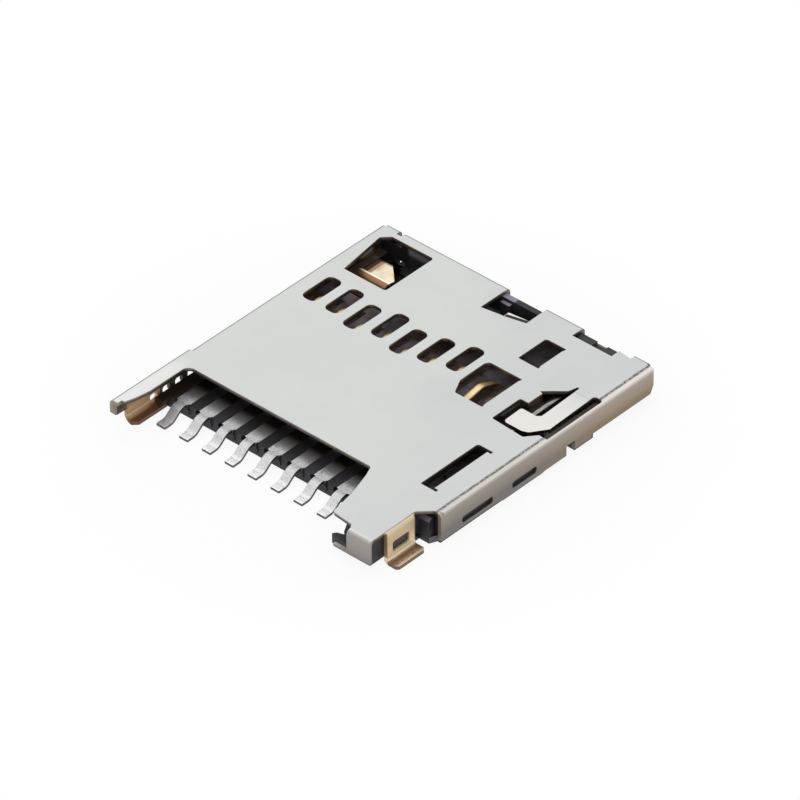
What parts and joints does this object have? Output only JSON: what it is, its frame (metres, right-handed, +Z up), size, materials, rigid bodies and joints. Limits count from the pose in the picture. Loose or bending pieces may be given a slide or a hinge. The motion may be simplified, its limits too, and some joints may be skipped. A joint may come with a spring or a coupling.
{
  "type": "sd card socket",
  "caption": "Low surface-mount push-push socket for a small memory card, with a folded steel cover, sprung contacts and a card switch.",
  "frame": {"origin": "on the circuit board, at the middle of the cover's outline", "axes": "+Y the way the card goes in, +Z up from the board, +X to the slider's side"},
  "size_m": [0.0131, 0.0148, 0.0014],
  "materials": {
    "shell_steel": "satin",
    "housing_plastic": "matte",
    "contact_metal": "tin plated",
    "slider_plastic": "matte",
    "wire_steel": "satin",
    "switch_metal": "thin gold"
  },
  "bodies": {
    "frame": {"shell": "shell_steel", "housing": "housing_plastic", "contact_1": "contact_metal", "contact_2": "contact_metal", "contact_3": "contact_metal", "contact_4": "contact_metal", "contact_5": "contact_metal", "contact_6": "contact_metal", "contact_7": "contact_metal", "contact_8": "contact_metal", "eject_spring": "wire_steel", "switch_leaf": "switch_metal", "switch_pad": "switch_metal"},
    "carriage": {"slider": "slider_plastic", "card_lock": "wire_steel"},
    "pin": {"cam_pin": "wire_steel"}
  },
  "joints": [
    {"name": "slider_push", "type": "slide", "parent": "frame", "child": "carriage", "axis": [0, 1, 0], "range_m": [0, 0.0039], "stiffness_N_per_m": 300, "springref_m": -0.002, "deforming": ["eject_spring"]},
    {"name": "cam_pin_swing", "type": "hinge", "parent": "frame", "child": "pin", "pos_m": [0.0048, 0.00636, 0.0005], "axis": [0, 0, 1], "range_deg": [0, 3.81]}
  ],
  "couplings": [
    {"joint": "cam_pin_swing", "follows": "slider_push", "rad_per_m": 16.834}
  ]
}
